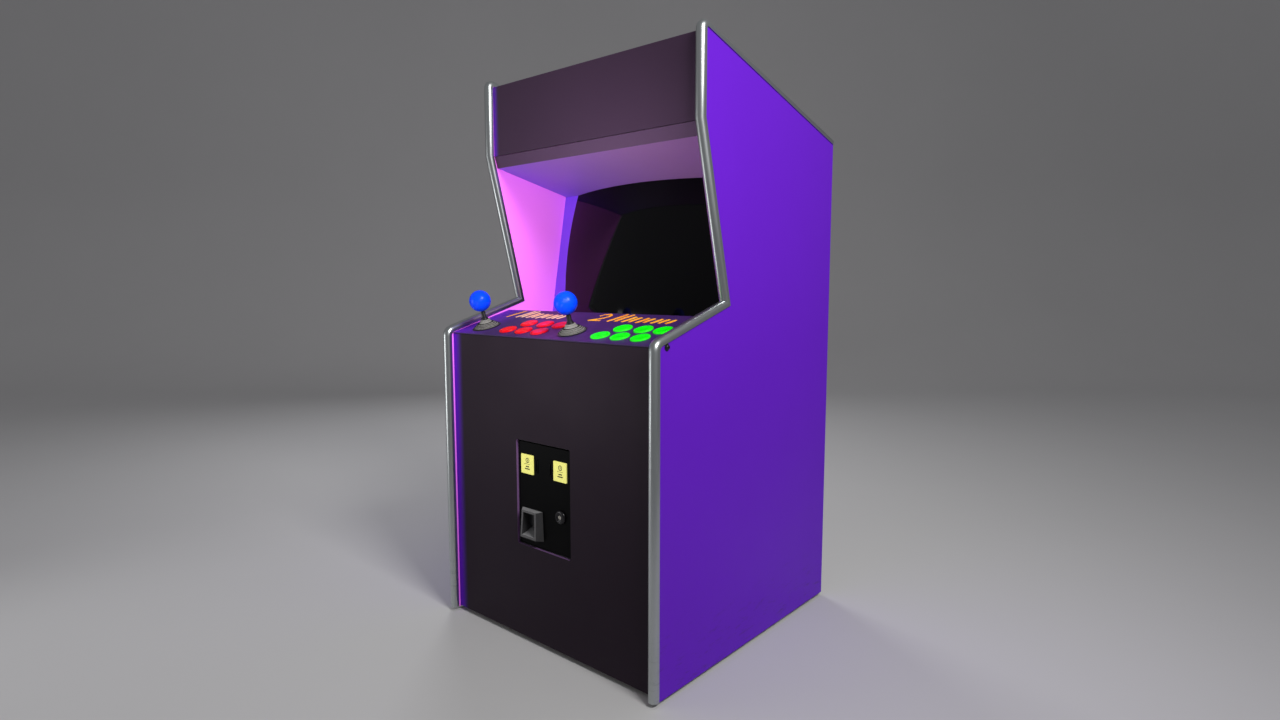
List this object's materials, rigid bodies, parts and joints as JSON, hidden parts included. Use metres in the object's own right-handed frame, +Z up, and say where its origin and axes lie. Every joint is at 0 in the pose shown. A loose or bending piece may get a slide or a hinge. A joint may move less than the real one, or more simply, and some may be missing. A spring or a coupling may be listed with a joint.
{
  "type": "arcade cabinet",
  "caption": "Upright two-player arcade cabinet with joysticks, push buttons, a sloped monitor, a marquee and a hinged coin door.",
  "frame": {"origin": "on the floor under the middle of the bounding box", "axes": "+X to the players' right, +Y from the front to the back, +Z up"},
  "size_m": [0.8594, 0.883, 1.6723],
  "materials": {
    "purple_laminate": "satin purple laminate on board",
    "edge_chrome": "brushed bright metal-look moulding",
    "black_board": "dark aubergine melamine",
    "plywood": "bare plywood",
    "mauve_sheet": "unlit tinted acrylic",
    "mauve_steel": "mauve paint",
    "mauve_board": "mauve painted board",
    "bezel_purple": "textured purple sheet",
    "panel_purple": "dark purple vinyl overlay on steel",
    "black_steel": "gloss black powder coat",
    "tube_glass": "near-black polished glass",
    "blue_plastic": "moulded blue",
    "red_plastic": "moulded red",
    "green_plastic": "moulded green",
    "yellow_plastic": "translucent yellow",
    "boot_rubber": "ribbed grey rubber",
    "gunmetal": "cast and tumbled",
    "zinc_plate": "zinc plated",
    "pressed_tin": "bright sheet",
    "circuit_board": "green solder mask",
    "black_plastic": "moulded black"
  },
  "bodies": {
    "cabinet": {"left_side_panel": "purple_laminate", "right_side_panel": "purple_laminate", "left_edge_trim": "edge_chrome", "right_edge_trim": "edge_chrome", "left_panel_bolt": "black_steel", "right_panel_bolt": "black_steel", "kick_panel": "black_board", "bottom_panel": "plywood", "back_panel": "black_board", "top_panel": "black_board", "marquee_panel": "mauve_sheet", "marquee_retainer": "mauve_steel", "marquee_underside": "mauve_board", "marquee_lamp": "pressed_tin", "speaker": "black_plastic", "monitor_bezel": "bezel_purple", "crt_tube": "tube_glass", "monitor_frame": "black_steel", "game_board": "circuit_board", "power_supply": "pressed_tin", "coin_box": "pressed_tin", "coin_door_frame": "black_steel", "front_left_foot": "zinc_plate", "front_right_foot": "zinc_plate", "rear_left_foot": "zinc_plate", "rear_right_foot": "zinc_plate", "mains_inlet": "black_plastic"},
    "control_panel": {"control_panel": "panel_purple", "left_stick_housing": "zinc_plate", "right_stick_housing": "zinc_plate", "left_stick_boot": "boot_rubber", "right_stick_boot": "boot_rubber"},
    "left_gimbal": {"left_stick_gimbal": "zinc_plate"},
    "left_stick": {"left_stick_shaft": "black_steel", "left_ball_top": "blue_plastic"},
    "left_button_1": {"left_button_1": "red_plastic"},
    "left_button_2": {"left_button_2": "red_plastic"},
    "left_button_3": {"left_button_3": "red_plastic"},
    "left_button_4": {"left_button_4": "red_plastic"},
    "left_button_5": {"left_button_5": "red_plastic"},
    "left_button_6": {"left_button_6": "red_plastic"},
    "right_gimbal": {"right_stick_gimbal": "zinc_plate"},
    "right_stick": {"right_stick_shaft": "black_steel", "right_ball_top": "blue_plastic"},
    "right_button_1": {"right_button_1": "green_plastic"},
    "right_button_2": {"right_button_2": "green_plastic"},
    "right_button_3": {"right_button_3": "green_plastic"},
    "right_button_4": {"right_button_4": "green_plastic"},
    "right_button_5": {"right_button_5": "green_plastic"},
    "right_button_6": {"right_button_6": "green_plastic"},
    "coin_door": {"coin_door": "black_steel", "coin_return_cup": "gunmetal", "left_coin_mech": "gunmetal", "right_coin_mech": "gunmetal"},
    "coin_lock": {"coin_lock": "gunmetal"},
    "coin_return_flap": {"coin_return_flap": "black_steel"},
    "left_reject_button": {"left_reject_button": "yellow_plastic"},
    "right_reject_button": {"right_reject_button": "yellow_plastic"},
    "rear_door": {"rear_door": "black_board"},
    "rear_lock": {"rear_lock": "zinc_plate"}
  },
  "joints": [
    {"name": "control_panel_tilt", "type": "hinge", "parent": "cabinet", "child": "control_panel", "pos_m": [0, -0.41666, 0.88462], "axis": [1, 0, 0], "range_deg": [0, 75]},
    {"name": "left_stick_forward", "type": "hinge", "parent": "control_panel", "child": "left_gimbal", "pos_m": [-0.312, -0.35549, 0.90348], "axis": [1, 0, 0], "range_deg": [-8, 8], "stiffness_Nm_per_rad": 4},
    {"name": "left_stick_sideways", "type": "hinge", "parent": "left_gimbal", "child": "left_stick", "pos_m": [-0.312, -0.35549, 0.90348], "axis": [0, 0.9601, 0.2797], "range_deg": [-8, 8], "stiffness_Nm_per_rad": 4},
    {"name": "left_button_1_press", "type": "slide", "parent": "control_panel", "child": "left_button_1", "axis": [0, 0.2797, -0.9601], "range_m": [0, 0.0035], "stiffness_N_per_m": 400, "springref_m": -0.002},
    {"name": "left_button_2_press", "type": "slide", "parent": "control_panel", "child": "left_button_2", "axis": [0, 0.2797, -0.9601], "range_m": [0, 0.0035], "stiffness_N_per_m": 400, "springref_m": -0.002},
    {"name": "left_button_3_press", "type": "slide", "parent": "control_panel", "child": "left_button_3", "axis": [0, 0.2797, -0.9601], "range_m": [0, 0.0035], "stiffness_N_per_m": 400, "springref_m": -0.002},
    {"name": "left_button_4_press", "type": "slide", "parent": "control_panel", "child": "left_button_4", "axis": [0, 0.2797, -0.9601], "range_m": [0, 0.0035], "stiffness_N_per_m": 400, "springref_m": -0.002},
    {"name": "left_button_5_press", "type": "slide", "parent": "control_panel", "child": "left_button_5", "axis": [0, 0.2797, -0.9601], "range_m": [0, 0.0035], "stiffness_N_per_m": 400, "springref_m": -0.002},
    {"name": "left_button_6_press", "type": "slide", "parent": "control_panel", "child": "left_button_6", "axis": [0, 0.2797, -0.9601], "range_m": [0, 0.0035], "stiffness_N_per_m": 400, "springref_m": -0.002},
    {"name": "right_stick_forward", "type": "hinge", "parent": "control_panel", "child": "right_gimbal", "pos_m": [0.062, -0.35549, 0.90348], "axis": [1, 0, 0], "range_deg": [-8, 8], "stiffness_Nm_per_rad": 4},
    {"name": "right_stick_sideways", "type": "hinge", "parent": "right_gimbal", "child": "right_stick", "pos_m": [0.062, -0.35549, 0.90348], "axis": [0, 0.9601, 0.2797], "range_deg": [-8, 8], "stiffness_Nm_per_rad": 4},
    {"name": "right_button_1_press", "type": "slide", "parent": "control_panel", "child": "right_button_1", "axis": [0, 0.2797, -0.9601], "range_m": [0, 0.0035], "stiffness_N_per_m": 400, "springref_m": -0.002},
    {"name": "right_button_2_press", "type": "slide", "parent": "control_panel", "child": "right_button_2", "axis": [0, 0.2797, -0.9601], "range_m": [0, 0.0035], "stiffness_N_per_m": 400, "springref_m": -0.002},
    {"name": "right_button_3_press", "type": "slide", "parent": "control_panel", "child": "right_button_3", "axis": [0, 0.2797, -0.9601], "range_m": [0, 0.0035], "stiffness_N_per_m": 400, "springref_m": -0.002},
    {"name": "right_button_4_press", "type": "slide", "parent": "control_panel", "child": "right_button_4", "axis": [0, 0.2797, -0.9601], "range_m": [0, 0.0035], "stiffness_N_per_m": 400, "springref_m": -0.002},
    {"name": "right_button_5_press", "type": "slide", "parent": "control_panel", "child": "right_button_5", "axis": [0, 0.2797, -0.9601], "range_m": [0, 0.0035], "stiffness_N_per_m": 400, "springref_m": -0.002},
    {"name": "right_button_6_press", "type": "slide", "parent": "control_panel", "child": "right_button_6", "axis": [0, 0.2797, -0.9601], "range_m": [0, 0.0035], "stiffness_N_per_m": 400, "springref_m": -0.002},
    {"name": "coin_door_hinge", "type": "hinge", "parent": "cabinet", "child": "coin_door", "pos_m": [-0.106, -0.4085, 0.442], "axis": [0, 0, -1], "range_deg": [0, 95]},
    {"name": "coin_lock_turn", "type": "hinge", "parent": "coin_door", "child": "coin_lock", "pos_m": [0.066, -0.4085, 0.4], "axis": [0, -1, 0], "range_deg": [0, 90]},
    {"name": "coin_return_flap_swing", "type": "hinge", "parent": "coin_door", "child": "coin_return_flap", "pos_m": [-0.051, -0.4045, 0.3825], "axis": [1, 0, 0], "range_deg": [0, 45]},
    {"name": "left_reject_button_press", "type": "slide", "parent": "coin_door", "child": "left_reject_button", "axis": [0, 1, 0], "range_m": [0, 0.003], "stiffness_N_per_m": 400, "springref_m": -0.002},
    {"name": "right_reject_button_press", "type": "slide", "parent": "coin_door", "child": "right_reject_button", "axis": [0, 1, 0], "range_m": [0, 0.003], "stiffness_N_per_m": 400, "springref_m": -0.002},
    {"name": "rear_door_hinge", "type": "hinge", "parent": "cabinet", "child": "rear_door", "pos_m": [-0.279, 0.4375, 0.885], "axis": [0, 0, 1], "range_deg": [0, 110]},
    {"name": "rear_lock_turn", "type": "hinge", "parent": "rear_door", "child": "rear_lock", "pos_m": [0.24, 0.4375, 0.885], "axis": [0, -1, 0], "range_deg": [0, 90]}
  ]
}
